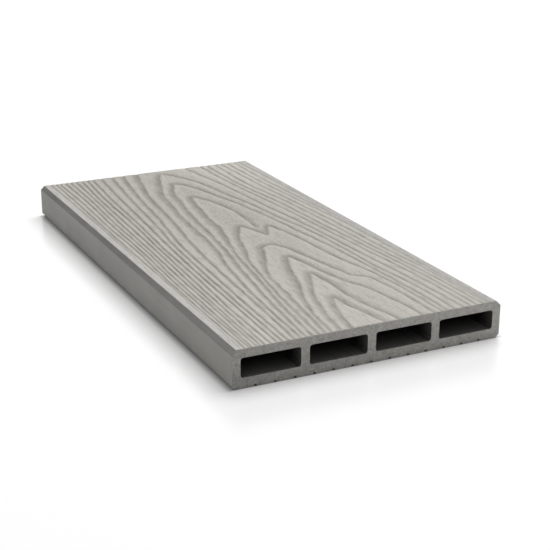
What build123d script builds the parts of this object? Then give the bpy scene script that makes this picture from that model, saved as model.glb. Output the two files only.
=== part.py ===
"""Hollow fence board of wood-plastic composite: one extruded piece, sawn to a short length.

Millimetres. X runs across the board, Y along the extrusion and Z up.
The board lies on its grooved back, with the show face up.
The origin is the middle of the back, on the plane that the board rests on.
"""

import os

from build123d import *

# Overall size
board_width = 150.0
board_thickness = 20.0
board_length = 300.0

# Long edges: a flat bevel beside the face and a smaller one beside the back, with their corners eased
face_bevel = 2.5
back_bevel = 1.8
edge_easing = 0.4

# Hollow section
chamber_count = 4
chamber_corner_radius = 1.4
side_wall = 4.6
web = 4.6
face_wall = 4.5
back_wall = 5.3

# Half-round grooves along the back, the outer ones this far from the board's sides
groove_count = 13
groove_radius = 1.0
groove_margin = 12.3

# Worked out from the sizes above
chamber_width = (board_width - 2 * side_wall - (chamber_count - 1) * web) / chamber_count
chamber_height = board_thickness - face_wall - back_wall
chamber_pitch = chamber_width + web
chamber_middle_z = back_wall + chamber_height / 2
groove_pitch = (board_width - 2 * groove_margin) / (groove_count - 1)

with BuildPart() as fence_board:
    with BuildSketch(Plane.XZ) as section:
        # Outline: a rectangle that stands on the back's plane, bevelled along its four edges
        Rectangle(board_width, board_thickness, align=(Align.CENTER, Align.MIN))
        chamfer(section.vertices().group_by(Axis.Y)[-1], length=face_bevel)
        chamfer(section.vertices().group_by(Axis.Y)[0], length=back_bevel)
        fillet(section.vertices(), radius=edge_easing)

        # Row of chambers, with a web between each two
        with Locations((0, chamber_middle_z)):
            with GridLocations(chamber_pitch, 0, chamber_count, 1):
                RectangleRounded(
                    chamber_width, chamber_height, chamber_corner_radius, mode=Mode.SUBTRACT
                )

        # Grooves: circles centred on the back's plane, of which the upper half cuts the board
        with GridLocations(groove_pitch, 0, groove_count, 1):
            Circle(groove_radius, mode=Mode.SUBTRACT)
    extrude(amount=board_length / 2, both=True)

fence_board.part.label = "fence_board"

os.makedirs("parts", exist_ok=True)
export_step(fence_board.part, "parts/fence_board.step")
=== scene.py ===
"""Looks of the composite fence board: its embossed face, smooth edges, sawn ends and dark chambers, with
painted light and shade in the colours of all of them.

The section's sizes and the grain's lines are in millimetres, the mesh and the scene in metres.
X runs across the board, Y along it and Z up. The board lies on its grooved back.
"""

import math

import bpy
import numpy as np
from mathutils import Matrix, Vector, noise
from mathutils.geometry import delaunay_2d_cdt


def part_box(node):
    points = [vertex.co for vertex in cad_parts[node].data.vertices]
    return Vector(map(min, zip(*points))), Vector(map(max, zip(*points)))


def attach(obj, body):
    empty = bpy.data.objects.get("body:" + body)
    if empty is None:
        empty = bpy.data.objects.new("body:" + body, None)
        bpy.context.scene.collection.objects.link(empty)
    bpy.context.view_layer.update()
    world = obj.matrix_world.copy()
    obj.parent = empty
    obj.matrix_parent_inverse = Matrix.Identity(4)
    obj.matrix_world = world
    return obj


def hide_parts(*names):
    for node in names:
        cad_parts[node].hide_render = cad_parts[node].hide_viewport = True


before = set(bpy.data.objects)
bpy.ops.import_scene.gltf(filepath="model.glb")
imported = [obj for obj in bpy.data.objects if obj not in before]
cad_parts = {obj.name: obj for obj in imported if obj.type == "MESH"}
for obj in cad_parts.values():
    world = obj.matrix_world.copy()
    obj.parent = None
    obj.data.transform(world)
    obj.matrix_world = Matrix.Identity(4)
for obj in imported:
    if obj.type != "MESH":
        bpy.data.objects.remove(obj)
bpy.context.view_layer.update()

MM = 0.001

# Section, the same values as the solid's
FACE_BEVEL = 2.5
BACK_BEVEL = 1.8
BEVEL_ANGLE = 45.0
EDGE_EASING = 0.4
CHAMBER_COUNT = 4
CHAMBER_RADIUS = 1.4
SIDE_WALL = 4.6
WEB = 4.6
FACE_WALL = 4.5
BACK_WALL = 5.3
GROOVE_COUNT = 13
GROOVE_RADIUS = 1.0
GROOVE_MARGIN = 12.3

board_low, board_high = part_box("fence_board")
WIDTH = (board_high.x - board_low.x) / MM
LENGTH = (board_high.y - board_low.y) / MM
THICKNESS = (board_high.z - board_low.z) / MM

# How far an eased edge reaches from its corner
EASING_REACH = EDGE_EASING * math.tan(math.radians(BEVEL_ANGLE) / 2)

# Facets of each arc in the section
EASING_STEPS = 3
CORNER_STEPS = 6
GROOVE_STEPS = 10

# Cells of the embossed face, across and along
CELLS_ACROSS = 345
CELLS_ALONG = 272

# For the triangles of the sawn ends: keep what is inside the outline, and points this close are one
INSIDE_OUTLINE = 1
SAME_POINT = 1e-6

# Order of the board's materials
FACE, BEVEL_SHADED, SKIN, SAWN, SHADED_CHAMBER_WALL, SHADED_CHAMBER_FLOOR = range(6)

# Lines of the grain that run from end to end: their x at each of these stations along the board.
# The inner side of a line is the one towards the middle of the board, or inside an arch.
STATIONS = (-150, -100, -50, 0, 50, 100, 150)
LEFT_LINES = (
    (-71.5, -71.0, -70.5, -69.5, -68.4, -68.2, -68.1),
    (-70.2, -69.2, -68.0, -67.4, -66.7, -65.5, -64.8),
    (-68.0, -67.5, -66.5, -64.3, -64.0, -62.3, -62.3),
    (-65.7, -65.3, -64.1, -62.0, -61.1, -59.0, -58.5),
    (-64.4, -63.1, -61.9, -59.5, -58.3, -56.0, -54.9),
    (-62.2, -60.6, -59.2, -57.1, -55.4, -53.0, -51.0),
    (-60.1, -58.6, -56.6, -54.2, -52.2, -50.3, -47.1),
    (-57.7, -56.1, -53.9, -51.5, -48.5, -47.0, -43.0),
    (-54.6, -53.5, -50.8, -48.9, -45.7, -43.2, -39.4),
    (-51.3, -49.6, -47.9, -45.0, -41.2, -37.8, -33.4),
    (-48.5, -46.8, -44.7, -41.6, -36.2, -31.7, -25.4),
    (-45.5, -43.5, -41.0, -38.0, -31.1, -25.6, -17.9),
    (-42.1, -38.5, -35.7, -31.2, -24.4, -18.8, -7.8),
)
RIGHT_LINES = (
    (52.7, 50.9, 47.1, 43.9, 38.5, 33.9, 26.3),
    (56.8, 56.1, 52.5, 49.0, 45.2, 40.2, 37.6),
    (60.7, 59.8, 56.2, 52.8, 49.6, 43.9, 42.9),
    (64.1, 63.2, 59.6, 57.5, 54.4, 48.9, 48.7),
    (66.7, 66.3, 63.5, 61.8, 58.4, 55.1, 53.0),
    (68.3, 68.4, 67.8, 66.5, 62.7, 59.3, 57.9),
    (69.9, 70.0, 69.9, 69.2, 66.1, 63.4, 63.2),
    (71.3, 71.6, 71.5, 71.1, 69.5, 68.3, 66.2),
)

# Cathedral arches, as (x, y) up the left leg from the front end, over the crown and down the right leg
ARCHES = (
    (
        (-38.8, -150), (-34.3, -87), (-31.2, -61), (-28.5, -42), (-23.4, -20), (-21.1, 0), (-18.1, 37),
        (-15.9, 59), (-12.4, 80), (-9.9, 98), (-5.0, 113), (0.6, 130), (4.1, 139), (6.2, 142), (9.3, 140),
        (14.3, 131), (19.6, 119), (24.0, 99), (27.1, 79), (31.1, 59), (36.1, 19), (39.3, -1), (41.4, -21),
        (42.9, -51), (44.1, -81), (46.4, -101), (47.7, -120), (47.3, -150),
    ),
    (
        (-35.8, -150), (-33.1, -120), (-29.7, -90), (-25.6, -62), (-18.9, -21), (-13.8, 18), (-9.1, 59),
        (-5.2, 79), (-2.0, 98), (2.6, 111), (4.9, 116.5), (8.2, 115), (11.2, 110), (15.5, 99), (20.0, 79),
        (25.2, 58), (26.5, 47), (28.9, 35), (33.6, -2), (38.2, -42), (40.7, -80), (43.0, -122), (43.3, -150),
    ),
    (
        (-32.6, -150), (-27.0, -101), (-24.2, -83), (-20.6, -61), (-18.4, -41), (-14.6, -21), (-9.3, -1),
        (-5.4, 18), (-3.7, 38), (-0.8, 59), (2.1, 76), (4.9, 84.5), (8.8, 77.5), (14.3, 58), (16.3, 41),
        (15.5, 26), (14.7, 13),
    ),
    (
        (-29.0, -150), (-23.6, -101), (-18.0, -62), (-14.4, -41), (-8.1, -21), (-2.1, -1), (2.6, 9),
        (7.3, 17), (9.4, 12), (11.9, 4), (15.1, -4), (17.4, 1), (22.5, 11.5), (25.5, 1), (28.7, -21),
        (30.4, -42), (33.0, -62), (36.9, -82), (39.0, -101), (40.0, -150),
    ),
    (
        (-25.3, -150), (-19.1, -101), (-16.6, -83), (-15.0, -67.5), (-10.7, -55), (-5.0, -42), (-0.3, -30),
        (2.7, -23), (6.3, -21), (9.6, -22), (12.6, -27), (16.3, -42), (23.2, -76), (25.2, -84.5),
        (31.5, -90.5), (33.3, -99.5), (35.7, -150),
    ),
    (
        (-22.1, -150), (-17.7, -120), (-12.4, -101), (-4.9, -81), (1.1, -61), (4.5, -51), (8.2, -43.5),
        (10.5, -52), (15.1, -80), (17.7, -92), (23.1, -104.5), (25.4, -118), (28.0, -134), (28.4, -150),
    ),
    (
        (-17.3, -150), (-11.6, -120), (-5.5, -100), (2.4, -82), (6.6, -72.5), (8.3, -83), (9.1, -95),
        (8.8, -107), (9.8, -121), (14.0, -141), (15.1, -150),
    ),
    (
        (-10.7, -150), (-8.9, -139), (-3.7, -120), (1.0, -109.5), (1.8, -120), (5.4, -139), (7.2, -150),
    ),
)

# Relief of one line of the grain: a steep inner side, and an outer side that falls off over some width.
# Each table holds its values at these x across the board. A line has a depth, and a tone that darkens it,
# partly as the grain's own darker colour and partly as painted shade in its recess.
PLACES = (-68.0, -50.0, -32.0, -14.0, 5.0, 20.0, 40.0, 58.0, 68.0)
STEEP_WIDTH = (0.95, 1.05, 1.2, 1.1, 1.1, 1.1, 1.0, 0.9, 0.8)
FALL_WIDTH = (1.0, 1.4, 2.4, 5.0, 4.9, 3.0, 2.1, 1.8, 1.5)
FALL_POWER = (1.3, 1.3, 0.95, 0.8, 0.8, 1.0, 1.3, 1.3, 1.3)
LINE_DEPTH = (0.38, 0.38, 0.38, 0.38, 0.38, 0.38, 0.36, 0.34, 0.32)
LINE_TONE = (1.16, 1.26, 0.95, 0.88, 0.94, 0.97, 0.95, 0.93, 0.75)

# A fall takes up at most this share of the gap to the next line. Past the steep side lies a pale lip, a
# painted highlight where the relief's edge catches the light.
FALL_SHARE = 0.6
HIGHLIGHT_LIP_WIDTH = 5.0

# Step between the points of a line, and how far from it its distance is measured
LINE_STEP = 1.4
REACH = 7.0

# The lines wander across the board by a share of their width, in long and in short waves.
# Each wave has its own slice of the noise, and a stride in it from one line to the next.
LONG_WANDER = 0.09
LONG_WAVE = 17.0
LONG_STRIDE = 7.3
LONG_SLICE = 0.5
SHORT_WANDER = 0.12
SHORT_WAVE = 5.0
SHORT_STRIDE = 3.7
SHORT_SLICE = 9.5

# The lines vary in depth, by a share of it
DEPTH_CHANGE = 0.36
DEPTH_WAVE_ACROSS = 5.0
DEPTH_WAVE_ALONG = 7.0
DEPTH_SLICE = 4.2

# The emboss fades out beside the bevels and leaves a plain strip, which is narrower at the front end
STRIP_PLACES = (-150.0, -120.0)
PLAIN_STRIP = (0.7, 1.8)
FADE_WIDTH = 3.2

# The lines are paler towards the front end
FRONT_PLACES = (-150.0, -60.0)
FRONT_TONE = (0.8, 1.0)

# Colours of the show face
FACE_DARK = (0.432, 0.413, 0.379)
FACE_LIGHT = (0.47, 0.45, 0.412)
FACE_PALE = (0.64, 0.615, 0.566)
FACE_LIP_HIGHLIGHT = (0.66, 0.634, 0.584)
FACE_LEFT_EDGE = (0.58, 0.57, 0.566)
FACE_RIGHT_EDGE = (0.388, 0.39, 0.397)
FACE_FIBRE = (0.31, 0.298, 0.27)
FACE_SPECK = (0.66, 0.638, 0.586)
FACE_LINE = (0.19, 0.183, 0.167)

# Colours of the extruded skin: its pale and dark blotches, and what it turns to at the front end, which is
# painted light. The bevels' colours are darker than the sides' with painted shade, though both are one
# material.
BEVEL_SHADED_PALE = (0.199, 0.194, 0.182)
BEVEL_SHADED_DARK = (0.14, 0.136, 0.128)
BEVEL_FRONT_LIT = (0.385, 0.376, 0.356)
SKIN_PALE = (0.378, 0.371, 0.35)
SKIN_DARK = (0.318, 0.312, 0.294)
SKIN_FRONT_LIT = (0.425, 0.417, 0.39)

# Colours of the sawn ends, darkest low on the left and palest high on the right, up this slope. The slope is
# painted light from above on the right and painted shade low on the left.
SAWN_SHADED_DARK = (0.281, 0.273, 0.256)
SAWN_SHADED_PALE = (0.417, 0.406, 0.382)
SAWN_LIT_DARK = (0.555, 0.54, 0.507)
SAWN_LIT_PALE = (0.672, 0.654, 0.613)
SAWN_PALE_FLECK = (0.62, 0.604, 0.56)
SAWN_DARK_FLECK = (0.2, 0.194, 0.182)
SAWN_LIGHT_SLOPE = (2.9, 0, 9.5)

# Colours of the chambers' walls and bottoms at the mouth and deep inside, and how far in they darken. All
# are painted shade, darker than the skin they are made of, with the walls darker than the bottoms.
WALL_MOUTH_SHADED = (0.1, 0.098, 0.094)
WALL_SHADE_DEPTH = 12.0
BOTTOM_MOUTH_SHADED = (0.23, 0.226, 0.216)
BOTTOM_SHADE_DEPTH = 28.0
CHAMBER_PAINTED_SHADE = (0.018, 0.0176, 0.017)

# Most values of a noise lie in this span
NOISE_SPAN = (0.3, 0.7)

# Floor, in metres. What the camera sees of it is lifted to white, except below the board and along its
# edges, where a shadow is painted dark.
FLOOR_SIZE = 3.0
FLOOR_Z = -0.0001
FLOOR_WHITE = (0.9, 0.9, 0.9)
FLOOR_PAINTED_SHADOW = (0.2, 0.2, 0.2)
FLOOR_LIFT = 0.17
# Where the painted shadow turns from dark to white, inside and outside the board's sides and ends, in
# millimetres
SIDE_SHADOW_SPAN = (3.3, 3.2)
END_SHADOW_SPAN = (0.3, 0.7)

# Light: an even sky, and one lamp whose place and size are in metres
AMBIENT = 0.25
KEY_PLACE = Vector((1.68, 1.05, 4.28))
KEY_SIZE = 4.2
KEY_POWER = 196.0

# Camera, from the photograph's perspective. The picture is cut a little off the lens's axis.
CAMERA_AZIMUTH = -25.54
CAMERA_ELEVATION = 19.97
CAMERA_DISTANCE = 0.7352
CAMERA_TARGET = Vector((-0.00694, -0.03343, 0.010))
CAMERA_LENS = 86.1
CAMERA_SHIFT = (0.0352, -0.0060)
SENSOR_WIDTH = 36.0


def arc(centre_x, centre_z, radius, start, end, steps):
    """Points of an arc in the section, with its angles in degrees."""
    angles = np.radians(np.linspace(start, end, steps + 1))
    return [(centre_x + radius * math.cos(a), centre_z + radius * math.sin(a)) for a in angles]


def eased(corner, before):
    """Points that round off a corner of the outline, which turns left there by the bevel's angle."""
    heading = math.atan2(corner[1] - before[1], corner[0] - before[0])
    start_x = corner[0] - EASING_REACH * math.cos(heading)
    start_z = corner[1] - EASING_REACH * math.sin(heading)
    centre_x = start_x - EDGE_EASING * math.sin(heading)
    centre_z = start_z + EDGE_EASING * math.cos(heading)
    first = math.degrees(heading) - 90
    return arc(centre_x, centre_z, EDGE_EASING, first, first + BEVEL_ANGLE, EASING_STEPS)


def outline_runs():
    """Outline of the section without its embossed top, as arcs joined by straight lines.

    It goes down the left side, along the back and up the right side.
    """
    half = WIDTH / 2
    corners = [
        (half - FACE_BEVEL, THICKNESS),
        (FACE_BEVEL - half, THICKNESS),
        (-half, THICKNESS - FACE_BEVEL),
        (-half, BACK_BEVEL),
        (BACK_BEVEL - half, 0),
        (half - BACK_BEVEL, 0),
        (half, BACK_BEVEL),
        (half, THICKNESS - FACE_BEVEL),
    ]
    rounds = [eased(corner, corners[k - 1]) for k, corner in enumerate(corners)]
    pitch = (WIDTH - 2 * GROOVE_MARGIN) / (GROOVE_COUNT - 1)
    grooves = []
    for k in range(GROOVE_COUNT):
        grooves.append(arc(GROOVE_MARGIN - half + k * pitch, 0, GROOVE_RADIUS, 180, 0, GROOVE_STEPS))
    return rounds[1:5] + grooves + rounds[5:] + rounds[:1]


def chamber_runs(index):
    """Outline of one chamber, as four corner arcs."""
    width = (WIDTH - 2 * SIDE_WALL - (CHAMBER_COUNT - 1) * WEB) / CHAMBER_COUNT
    left = SIDE_WALL - WIDTH / 2 + index * (width + WEB) + CHAMBER_RADIUS
    right = left + width - 2 * CHAMBER_RADIUS
    low = BACK_WALL + CHAMBER_RADIUS
    high = THICKNESS - FACE_WALL - CHAMBER_RADIUS
    return [
        arc(right, high, CHAMBER_RADIUS, 0, 90, CORNER_STEPS),
        arc(left, high, CHAMBER_RADIUS, 90, 180, CORNER_STEPS),
        arc(left, low, CHAMBER_RADIUS, 180, 270, CORNER_STEPS),
        arc(right, low, CHAMBER_RADIUS, 270, 360, CORNER_STEPS),
    ]


def smooth_line(points):
    """A smooth curve through the points, sampled at even steps."""
    knots = np.array(points, float)
    chord = np.concatenate([[0], np.cumsum(np.hypot(*np.diff(knots, axis=0).T))])
    tangents = np.gradient(knots, chord, axis=0)
    along = np.linspace(0, chord[-1], int(chord[-1] / LINE_STEP) + 1)
    k = np.clip(np.searchsorted(chord, along, side="right") - 1, 0, len(chord) - 2)
    span = (chord[k + 1] - chord[k])[:, None]
    t = (along - chord[k])[:, None] / span
    start = (1 + 2 * t) * (1 - t) ** 2 * knots[k] + t * (1 - t) ** 2 * span * tangents[k]
    end = t**2 * (3 - 2 * t) * knots[k + 1] - t**2 * (1 - t) * span * tangents[k + 1]
    return start + end


def wander(line, seed):
    """The same line with a slight waver across the board."""
    moved = line.copy()
    for point in moved:
        width = np.interp(point[0], PLACES, FALL_WIDTH)
        long_wave = noise.noise(Vector((seed * LONG_STRIDE, point[1] / LONG_WAVE, LONG_SLICE)))
        short_wave = noise.noise(Vector((seed * SHORT_STRIDE, point[1] / SHORT_WAVE, SHORT_SLICE)))
        point[0] += width * (LONG_WANDER * long_wave + SHORT_WANDER * short_wave)
    return moved


def grain_lines():
    """All lines of the grain, each with its inner side on the right."""
    lines = [list(zip(xs, STATIONS)) for xs in LEFT_LINES]
    lines += [list(zip(xs, STATIONS))[::-1] for xs in RIGHT_LINES]
    lines += ARCHES
    return [wander(smooth_line(points), seed) for seed, points in enumerate(lines)]


def signed_distance(line, xs, ys):
    """Distance of the face's points from a line, positive on its outer side, as far as REACH."""
    distance = np.full((len(ys), len(xs)), 2 * REACH)
    for a, b in zip(line[:-1], line[1:]):
        low = np.minimum(a, b) - REACH
        high = np.maximum(a, b) + REACH
        i0, i1 = np.searchsorted(xs, (low[0], high[0]))
        j0, j1 = np.searchsorted(ys, (low[1], high[1]))
        from_x = xs[None, i0:i1] - a[0]
        from_y = ys[j0:j1, None] - a[1]
        run_x, run_y = b - a
        t = np.clip((from_x * run_x + from_y * run_y) / (run_x**2 + run_y**2), 0, 1)
        away = np.hypot(from_x - t * run_x, from_y - t * run_y)
        outer = np.where(run_x * from_y - run_y * from_x >= 0, 1, -1)
        window = distance[j0:j1, i0:i1]
        closer = away < np.abs(window)
        window[closer] = (away * outer)[closer]
    return distance


def line_gap(distances):
    """Width of the strip that each point of the face lies in, from one line to the next."""
    inner = np.full(distances[0].shape, 2 * REACH)
    outer = np.full(distances[0].shape, 2 * REACH)
    for distance in distances:
        inner = np.where(distance >= 0, np.minimum(inner, distance), inner)
        outer = np.where(distance < 0, np.minimum(outer, -distance), outer)
    return inner + outer


def across_face(xs, values):
    """A table's values, which it holds at PLACES, at each x of the face."""
    return np.interp(xs, PLACES, values)[None, :]


def edge_fade(xs, ys):
    """1 over most of the face, and down to 0 beside the bevels."""
    strip = np.interp(ys, STRIP_PLACES, PLAIN_STRIP)[:, None]
    inside = WIDTH / 2 - FACE_BEVEL - strip - np.abs(xs)[None, :]
    return np.clip(inside / FADE_WIDTH, 0, 1)


def depth_change(xs, ys):
    """Factors around 1 that vary softly over the face."""
    change = np.ones((len(ys), len(xs)))
    for j, y in enumerate(ys):
        for i, x in enumerate(xs):
            place = Vector((x / DEPTH_WAVE_ACROSS, y / DEPTH_WAVE_ALONG, DEPTH_SLICE))
            change[j, i] += DEPTH_CHANGE * noise.noise(place)
    return change


def emboss(xs, ys):
    """How dark, how pale and how deep each point of the face is, by its place in and beside the lines. The
    pale lips are painted highlight, and the dark is partly painted shade.
    """
    distances = [signed_distance(line, xs, ys) for line in grain_lines()]
    full = across_face(xs, FALL_WIDTH)
    fall = np.minimum(full, FALL_SHARE * line_gap(distances))
    power = across_face(xs, FALL_POWER)
    steep = across_face(xs, STEEP_WIDTH)
    cut = np.zeros((len(ys), len(xs)))
    lip = np.zeros((len(ys), len(xs)))
    for distance in distances:
        outer = np.clip(1 - distance / fall, 0, 1) ** power
        inner = np.clip(1 + distance / steep, 0, 1)
        cut = np.maximum(cut, np.where(distance >= 0, outer, inner))
        beside = np.clip(1 + (distance + steep) / HIGHLIGHT_LIP_WIDTH, 0, 1) * fall / full
        lip = np.maximum(lip, np.where(distance >= 0, 0, beside))
    cut *= edge_fade(xs, ys)
    cut *= depth_change(xs, ys)
    tone = cut * across_face(xs, LINE_TONE) * np.interp(ys, FRONT_PLACES, FRONT_TONE)[:, None]
    return tone, lip, cut * across_face(xs, LINE_DEPTH)


class BoardMesh:
    """Vertices, faces, and each face's material and shading, as the board's surfaces are added."""

    def __init__(self):
        self.points = []
        self.faces = []
        self.materials = []
        self.smooth = []

    def add_point(self, x, y, z):
        self.points.append((x * MM, y * MM, z * MM))
        return len(self.points) - 1

    def add_face(self, corners, material, smooth):
        self.faces.append(corners)
        self.materials.append(material)
        self.smooth.append(smooth)


def add_face_grid(mesh, xs, ys, depth):
    """The embossed face.

    Its cells are split along the grain, which leans the other way right of the middle.
    """
    rows = []
    for j, y in enumerate(ys):
        rows.append([mesh.add_point(x, y, THICKNESS - depth[j, i]) for i, x in enumerate(xs)])
    for j in range(len(ys) - 1):
        for i in range(len(xs) - 1):
            cell = [rows[j][i], rows[j][i + 1], rows[j + 1][i + 1], rows[j + 1][i]]
            if xs[i] > 0:
                cell = cell[1:] + cell[:1]
            mesh.add_face(cell, FACE, True)
    return rows


def sweep(mesh, runs, ys):
    """Columns of points along the board, one for each point of the runs."""
    swept = []
    for run in runs:
        swept.append([[mesh.add_point(x, y, z) for y in ys] for x, z in run])
    return swept


def add_strip(mesh, left, right, material, smooth):
    """The surface between two columns of points, which may differ in number."""
    if len(left) == len(right):
        for j in range(len(left) - 1):
            mesh.add_face([left[j], left[j + 1], right[j + 1], right[j]], material, smooth)
    else:
        mesh.add_face(left + right[::-1], material, smooth)


def add_outline(mesh, rows, ys):
    """Bevels, sides and back. Next to the face the points go with its rows, elsewhere end to end."""
    runs = outline_runs()
    ends = (ys[0], ys[-1])
    columns = sweep(mesh, [runs[0][1:]], ys)
    columns += sweep(mesh, runs[1:-1], ends)
    columns += sweep(mesh, [runs[-1][:-1]], ys)
    columns[0].insert(0, [row[0] for row in rows])
    columns[-1].append([row[-1] for row in rows])
    for k, run in enumerate(columns):
        material = FACE if k in (0, len(columns) - 1) else SKIN
        for left, right in zip(run[:-1], run[1:]):
            add_strip(mesh, left, right, material, True)
    for k in range(len(columns) - 1):
        # The top bevels take the bevel material, whose colour is the skin's darkened with painted shade.
        material = BEVEL_SHADED if k in (0, len(columns) - 2) else SKIN
        add_strip(mesh, columns[k][-1], columns[k + 1][0], material, False)
    return [column for run in columns for column in run]


def add_chamber(mesh, index, ys):
    """Walls of one chamber, which face inwards."""
    columns = sweep(mesh, chamber_runs(index), (ys[0], ys[-1]))
    flats = (SHADED_CHAMBER_WALL, SHADED_CHAMBER_WALL, SHADED_CHAMBER_FLOOR, SHADED_CHAMBER_WALL)
    for run in columns:
        for left, right in zip(run[:-1], run[1:]):
            add_strip(mesh, right, left, SHADED_CHAMBER_WALL, True)
    for run, following, material in zip(columns, columns[1:] + columns[:1], flats):
        add_strip(mesh, following[0], run[-1], material, False)
    return [column for run in columns for column in run]


def in_chamber(mesh, face, chambers):
    """Whether the middle of a triangle of the sawn end lies in one of the chambers."""
    x = sum(mesh.points[p][0] for p in face) / 3
    z = sum(mesh.points[p][2] for p in face) / 3
    if not BACK_WALL * MM < z < (THICKNESS - FACE_WALL) * MM:
        return False
    for chamber in chambers:
        sides = [mesh.points[p][0] for p in chamber]
        if min(sides) < x < max(sides):
            return True
    return False


def add_end(mesh, outer, chambers, faces_front):
    """One sawn end: the section between the outline and the chambers, in triangles."""
    loops = [outer, *chambers]
    corners = [p for loop in loops for p in loop]
    flat = [Vector((mesh.points[p][0] / MM, mesh.points[p][2] / MM)) for p in corners]
    edges = []
    first = 0
    for loop in loops:
        edges += [(first + k, first + (k + 1) % len(loop)) for k in range(len(loop))]
        first += len(loop)
    _, _, triangles, origins, _, _ = delaunay_2d_cdt(flat, edges, [], INSIDE_OUTLINE, SAME_POINT)
    source = [corners[origin[0]] for origin in origins]
    for triangle in triangles:
        face = [source[k] for k in triangle]
        if not in_chamber(mesh, face, chambers):
            mesh.add_face(face if faces_front else face[::-1], SAWN, False)


def add_board(mesh, tone, lip, materials):
    """The Blender object of the finished mesh. Its face's tones go along as values at its points."""
    data = bpy.data.meshes.new("fence_board_looks")
    data.from_pydata(mesh.points, [], mesh.faces)
    data.polygons.foreach_set("material_index", mesh.materials)
    data.polygons.foreach_set("use_smooth", mesh.smooth)
    for name, values in (("groove", tone), ("lip", lip)):
        shade = np.zeros(len(mesh.points), np.float32)
        shade[: values.size] = values.ravel()
        data.attributes.new(name, "FLOAT", "POINT").data.foreach_set("value", shade)
    for material in materials:
        data.materials.append(material)
    data.update()
    board = bpy.data.objects.new("fence_board_looks", data)
    bpy.context.collection.objects.link(board)
    return board


def build_board(materials):
    """The whole board as one closed mesh. The face's points come first in it."""
    half = WIDTH / 2 - FACE_BEVEL - EASING_REACH
    xs = np.linspace(-half, half, CELLS_ACROSS + 1)
    ys = np.linspace(-LENGTH / 2, LENGTH / 2, CELLS_ALONG + 1)
    tone, lip, depth = emboss(xs, ys)
    mesh = BoardMesh()
    rows = add_face_grid(mesh, xs, ys, depth)
    outline = add_outline(mesh, rows, ys)
    chambers = [add_chamber(mesh, k, ys) for k in range(CHAMBER_COUNT)]
    for row, end, faces_front in ((rows[0], 0, True), (rows[-1], -1, False)):
        outer = [column[end] for column in outline] + row[-2:0:-1]
        add_end(mesh, outer, [[column[end] for column in chamber] for chamber in chambers], faces_front)
    return add_board(mesh, tone, lip, materials)


def new_material(name):
    """An empty node material, with its tree, its shader and the board's own coordinates."""
    material = bpy.data.materials.new(name)
    material.use_nodes = True
    tree = material.node_tree
    shader = tree.nodes["Principled BSDF"]
    place = tree.nodes.new("ShaderNodeTexCoord").outputs["Object"]
    return material, tree, shader, place


def add_noise(tree, place, scale, detail=3.0, roughness=0.55):
    """Noise with its own scale along each axis, in features a metre."""
    mapping = tree.nodes.new("ShaderNodeMapping")
    mapping.inputs["Scale"].default_value = scale
    tree.links.new(place, mapping.inputs["Vector"])
    texture = tree.nodes.new("ShaderNodeTexNoise")
    texture.inputs["Scale"].default_value = 1.0
    texture.inputs["Detail"].default_value = detail
    texture.inputs["Roughness"].default_value = roughness
    tree.links.new(mapping.outputs["Vector"], texture.inputs["Vector"])
    return texture.outputs["Fac"]


def add_attribute(tree, name):
    """A value that the mesh keeps at each of its points."""
    attribute = tree.nodes.new("ShaderNodeAttribute")
    attribute.attribute_name = name
    return attribute.outputs["Fac"]


def add_parts(tree, vector):
    """The three parts of a vector, as sockets."""
    node = tree.nodes.new("ShaderNodeSeparateXYZ")
    tree.links.new(vector, node.inputs["Vector"])
    return node.outputs


def add_math(tree, operation, first, second=None):
    """A sum, a product or the like, of one socket, and a second one or a fixed number if it takes two."""
    node = tree.nodes.new("ShaderNodeMath")
    node.operation = operation
    tree.links.new(first, node.inputs[0])
    if isinstance(second, bpy.types.NodeSocket):
        tree.links.new(second, node.inputs[1])
    elif second is not None:
        node.inputs[1].default_value = second
    return node.outputs["Value"]


def remap(tree, value, low, high, to_low=0.0, to_high=1.0):
    """A value moved from one range to another and held inside it."""
    node = tree.nodes.new("ShaderNodeMapRange")
    node.inputs["From Min"].default_value = low
    node.inputs["From Max"].default_value = high
    node.inputs["To Min"].default_value = to_low
    node.inputs["To Max"].default_value = to_high
    tree.links.new(value, node.inputs["Value"])
    return node.outputs["Result"]


def blend(tree, first, second, factor):
    """A colour between two, each a socket or a fixed colour, by a socket's factor."""
    node = tree.nodes.new("ShaderNodeMix")
    node.data_type = "RGBA"
    tree.links.new(factor, node.inputs["Factor"])
    for name, colour in (("A", first), ("B", second)):
        socket = next(s for s in node.inputs if s.name == name and s.type == "RGBA")
        if isinstance(colour, tuple):
            socket.default_value = (*colour, 1.0)
        else:
            tree.links.new(colour, socket)
    return next(s for s in node.outputs if s.type == "RGBA")


def tint(tree, under, colour, value, start, end, amount=1.0):
    """A colour that takes on another one as a value goes from start to end, by an amount at the end."""
    return blend(tree, under, colour, remap(tree, value, start, end, 0.0, amount))


def add_roughness(tree, shader, texture, smooth, rough):
    """Roughness between two values, by a noise."""
    tree.links.new(remap(tree, texture, *NOISE_SPAN, smooth, rough), shader.inputs["Roughness"])


def add_bump(tree, shader, height, strength, distance):
    """Fine relief from a height, on top of any bump that the shader already has."""
    bump = tree.nodes.new("ShaderNodeBump")
    bump.inputs["Strength"].default_value = strength
    bump.inputs["Distance"].default_value = distance
    tree.links.new(height, bump.inputs["Height"])
    normal = shader.inputs["Normal"]
    if normal.is_linked:
        tree.links.new(normal.links[0].from_socket, bump.inputs["Normal"])
    tree.links.new(bump.outputs["Normal"], normal)


def corner_distance(tree, place, side, end):
    """Distance from one of the face's corners, in metres."""
    node = tree.nodes.new("ShaderNodeVectorMath")
    node.operation = "DISTANCE"
    node.inputs[1].default_value = (side * WIDTH / 2 * MM, end * LENGTH / 2 * MM, THICKNESS * MM)
    tree.links.new(place, node.inputs[0])
    return node.outputs["Value"]


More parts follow.
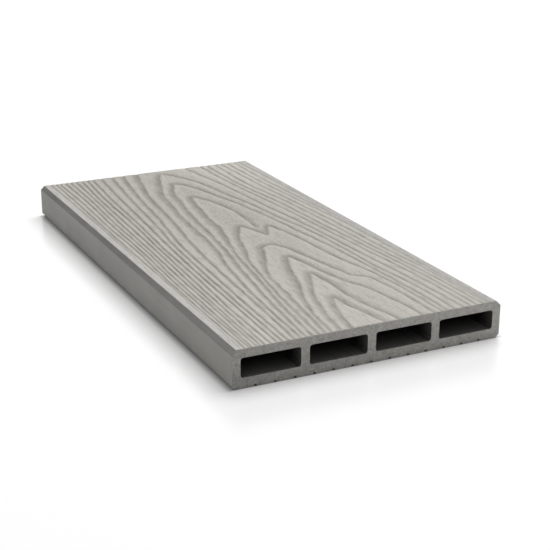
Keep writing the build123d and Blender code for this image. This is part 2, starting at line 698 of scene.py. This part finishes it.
def face_material():
    """Embossed show face: pale warm grey, darker in the lines of the grain, with fine fibres.

    It is paler on the right, on the left, and towards the front left and the rear right corner; the paler
    right side and corners are painted light.
    """
    material, tree, shader, place = new_material("composite_face")
    fibres = add_noise(tree, place, (900, 90, 900), detail=4.0, roughness=0.6)
    blotches = add_noise(tree, place, (60, 25, 60))
    specks = add_noise(tree, place, (850, 420, 850), detail=3.0, roughness=0.6)
    across = add_parts(tree, place)["X"]
    front_left_light_pool = corner_distance(tree, place, -1, -1)
    rear_right_light_pool = corner_distance(tree, place, 1, 1)
    tone = tint(tree, FACE_DARK, FACE_LIGHT, blotches, start=0.35, end=0.65)
    # Painted light: paler towards the right, where the lamp is.
    tone = tint(tree, tone, FACE_PALE, across, start=20 * MM, end=75 * MM, amount=0.45)
    tone = tint(tree, tone, FACE_PALE, across, start=-45 * MM, end=-62 * MM, amount=0.2)
    # Painted light: pools of light towards the front left and rear right corners.
    tone = tint(tree, tone, FACE_PALE, front_left_light_pool, start=210 * MM, end=0, amount=0.85)
    tone = tint(tree, tone, FACE_PALE, rear_right_light_pool, start=80 * MM, end=0, amount=0.95)
    # Painted highlight: a pale lip beside each line's steep side.
    tone = tint(tree, tone, FACE_LIP_HIGHLIGHT, add_attribute(tree, "lip"), start=0, end=1, amount=0.35)
    tone = tint(tree, tone, FACE_LEFT_EDGE, across, start=-66.5 * MM, end=-70.5 * MM, amount=0.6)
    tone = tint(tree, tone, FACE_RIGHT_EDGE, across, start=64.5 * MM, end=69 * MM, amount=0.42)
    tone = tint(tree, tone, FACE_FIBRE, fibres, start=0.48, end=0.72, amount=0.65)
    tone = tint(tree, tone, FACE_SPECK, specks, start=0.5, end=0.72, amount=0.75)
    # Darker in the lines: partly their own colour, partly painted shade that deepens with the cut.
    tone = tint(tree, tone, FACE_LINE, add_attribute(tree, "groove"), start=0, end=1.3, amount=0.95)
    tree.links.new(tone, shader.inputs["Base Color"])
    shader.inputs["Specular IOR Level"].default_value = 0.1
    add_roughness(tree, shader, fibres, smooth=0.62, rough=0.78)
    add_bump(tree, shader, fibres, strength=0.35, distance=0.2 * MM)
    add_bump(tree, shader, specks, strength=0.25, distance=0.1 * MM)
    return material


def skin_material(name, pale, dark, front):
    """Smooth extruded skin: faint draw lines along the board and soft blotches, paler to the front with
    painted light.
    """
    material, tree, shader, place = new_material(name)
    draws = add_noise(tree, place, (900, 6, 900))
    blotches = add_noise(tree, place, (90, 45, 90))
    specks = add_noise(tree, place, (1400, 1400, 1400), detail=2.0)
    along = add_parts(tree, place)["Y"]
    end = LENGTH / 2 * MM
    tone = tint(tree, dark, pale, blotches, start=0.3, end=0.7)
    tone = tint(tree, tone, dark, draws, start=0.5, end=0.75, amount=0.5)
    tone = tint(tree, tone, pale, specks, start=0.58, end=0.72, amount=0.6)
    # Painted light: paler towards the front end.
    tone = tint(tree, tone, front, along, start=end / 3, end=-end, amount=0.32)
    tree.links.new(tone, shader.inputs["Base Color"])
    shader.inputs["Specular IOR Level"].default_value = 0.35
    add_roughness(tree, shader, draws, smooth=0.54, rough=0.66)
    add_bump(tree, shader, draws, strength=0.2, distance=0.1 * MM)
    add_bump(tree, shader, specks, strength=0.15, distance=0.05 * MM)
    return material


def sawn_material():
    """Sawn end: a mottled cut through wood flour and plastic, with flecks and faint saw marks, paler high on
    the right and darker low on the left with painted light and shade.
    """
    material, tree, shader, place = new_material("composite_sawn")
    mottle = add_noise(tree, place, (320, 320, 320), detail=4.0, roughness=0.6)
    flecks = add_noise(tree, place, (900, 900, 900), detail=3.0, roughness=0.6)
    marks = add_noise(tree, place, (1000, 1000, 40), detail=2.0)
    slope = tree.nodes.new("ShaderNodeVectorMath")
    slope.operation = "DOT_PRODUCT"
    slope.inputs[1].default_value = SAWN_LIGHT_SLOPE
    tree.links.new(place, slope.inputs[0])
    low = tint(tree, SAWN_SHADED_DARK, SAWN_SHADED_PALE, mottle, start=0.35, end=0.65)
    high = tint(tree, SAWN_LIT_DARK, SAWN_LIT_PALE, mottle, start=0.35, end=0.65)
    # Painted light and shade: paler up and to the right, darker down and to the left.
    tone = tint(tree, low, high, slope.outputs["Value"], start=-0.22, end=0.41, amount=0.63)
    tone = tint(tree, tone, SAWN_PALE_FLECK, flecks, start=0.54, end=0.72, amount=0.7)
    tone = tint(tree, tone, SAWN_DARK_FLECK, flecks, start=0.46, end=0.29, amount=0.7)
    tree.links.new(tone, shader.inputs["Base Color"])
    shader.inputs["Roughness"].default_value = 0.85
    shader.inputs["Specular IOR Level"].default_value = 0.25
    add_bump(tree, shader, flecks, strength=0.3, distance=0.1 * MM)
    add_bump(tree, shader, marks, strength=0.2, distance=0.1 * MM)
    return material


def shaded_chamber_material(name, mouth, shade_depth):
    """Wall of a chamber: dull, with draw lines, and darker from the mouth inwards with painted shade."""
    material, tree, shader, place = new_material(name)
    draws = add_noise(tree, place, (900, 6, 900))
    from_middle = add_math(tree, "ABSOLUTE", add_parts(tree, place)["Y"])
    end = LENGTH / 2
    # Painted shade: dark at the mouth and darker still deeper inside.
    tone = tint(tree, mouth, CHAMBER_PAINTED_SHADE, draws, start=0.5, end=0.75, amount=0.3)
    tone = tint(tree, tone, CHAMBER_PAINTED_SHADE, from_middle, start=end * MM, end=(end - shade_depth) * MM)
    tree.links.new(tone, shader.inputs["Base Color"])
    shader.inputs["Specular IOR Level"].default_value = 0.08
    add_roughness(tree, shader, draws, smooth=0.75, rough=0.85)
    add_bump(tree, shader, draws, strength=0.2, distance=0.1 * MM)
    return material


def outside_painted_shadow(tree, place):
    """1 on the floor around the board and 0 below it and along its edges, where a shadow is painted dark."""
    absolute = tree.nodes.new("ShaderNodeVectorMath")
    absolute.operation = "ABSOLUTE"
    tree.links.new(place, absolute.inputs[0])
    parts = add_parts(tree, absolute.outputs["Vector"])
    lit = []
    for name, half, (inside, outside) in (("X", WIDTH / 2, SIDE_SHADOW_SPAN), ("Y", LENGTH / 2, END_SHADOW_SPAN)):
        lit.append(remap(tree, parts[name], (half - inside) * MM, (half + outside) * MM))
    return add_math(tree, "MAXIMUM", *lit)


def seen_strength(tree, strength):
    """A strength for rays from the camera, mirrors and glass, and none for the rest."""
    rays = tree.nodes.new("ShaderNodeLightPath").outputs
    seen = rays["Is Camera Ray"]
    for name in ("Is Glossy Ray", "Is Transmission Ray"):
        seen = add_math(tree, "MAXIMUM", seen, rays[name])
    return add_math(tree, "MULTIPLY", seen, strength)


def floor_material():
    """White floor that keeps the board's shadow and a faint mirror image, and has a shadow painted dark
    below the board and along its edges.
    """
    material, tree, shader, place = new_material("floor_white")
    beside = outside_painted_shadow(tree, place)
    # Painted shadow: below the board and along its edges the lift drops away and the colour turns dark.
    lift = add_math(tree, "MULTIPLY", seen_strength(tree, FLOOR_LIFT), beside)
    tree.links.new(blend(tree, FLOOR_PAINTED_SHADOW, FLOOR_WHITE, beside), shader.inputs["Base Color"])
    shader.inputs["Roughness"].default_value = 0.22
    shader.inputs["Specular IOR Level"].default_value = 0.8
    shader.inputs["Emission Color"].default_value = (1, 1, 1, 1)
    tree.links.new(lift, shader.inputs["Emission Strength"])
    return material


def add_camera():
    """The camera, with the horizon level."""
    azimuth = math.radians(CAMERA_AZIMUTH)
    elevation = math.radians(CAMERA_ELEVATION)
    back = Vector(
        (
            math.sin(azimuth) * math.cos(elevation),
            -math.cos(azimuth) * math.cos(elevation),
            math.sin(elevation),
        )
    )
    data = bpy.data.cameras.new("camera")
    data.lens = CAMERA_LENS
    data.sensor_width = SENSOR_WIDTH
    data.shift_x, data.shift_y = CAMERA_SHIFT
    camera = bpy.data.objects.new("camera", data)
    camera.location = CAMERA_TARGET + back * CAMERA_DISTANCE
    camera.rotation_euler = (-back).to_track_quat("-Z", "Y").to_euler()
    bpy.context.collection.objects.link(camera)
    bpy.context.scene.camera = camera


def add_floor():
    """A plain floor under the board."""
    half = FLOOR_SIZE / 2
    sides = ((-half, -half), (half, -half), (half, half), (-half, half))
    data = bpy.data.meshes.new("floor")
    data.from_pydata([(x, y, FLOOR_Z) for x, y in sides], [], [(0, 1, 2, 3)])
    data.materials.append(floor_material())
    floor = bpy.data.objects.new("floor", data)
    bpy.context.collection.objects.link(floor)


def add_lamp():
    """One large soft lamp from above on the right."""
    data = bpy.data.lights.new("key", "AREA")
    data.shape = "DISK"
    data.size = KEY_SIZE
    data.energy = KEY_POWER
    lamp = bpy.data.objects.new("key", data)
    lamp.location = KEY_PLACE
    lamp.rotation_euler = (-KEY_PLACE).to_track_quat("-Z", "Y").to_euler()
    bpy.context.collection.objects.link(lamp)


def add_sky():
    """An even sky, which is white where the camera sees it."""
    world = bpy.data.worlds.new("sky")
    world.use_nodes = True
    bpy.context.scene.world = world
    tree = world.node_tree
    background = tree.nodes["Background"]
    background.inputs["Color"].default_value = (1, 1, 1, 1)
    strength = add_math(tree, "ADD", seen_strength(tree, 1 - AMBIENT), AMBIENT)
    tree.links.new(strength, background.inputs["Strength"])


board = build_board(
    (
        face_material(),
        # Bevels: the skin's colours darkened with painted shade.
        skin_material("composite_bevel_painted_shade", BEVEL_SHADED_PALE, BEVEL_SHADED_DARK, BEVEL_FRONT_LIT),
        skin_material("composite_skin", SKIN_PALE, SKIN_DARK, SKIN_FRONT_LIT),
        sawn_material(),
        # Chamber walls and bottoms: the skin's colour darkened with painted shade.
        shaded_chamber_material("composite_chamber_wall_shaded", WALL_MOUTH_SHADED, WALL_SHADE_DEPTH),
        shaded_chamber_material("composite_chamber_floor_shaded", BOTTOM_MOUTH_SHADED, BOTTOM_SHADE_DEPTH),
    )
)
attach(board, "root")
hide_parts("fence_board")
add_floor()
add_lamp()
add_sky()
add_camera()
bpy.context.scene.view_settings.view_transform = "Standard"
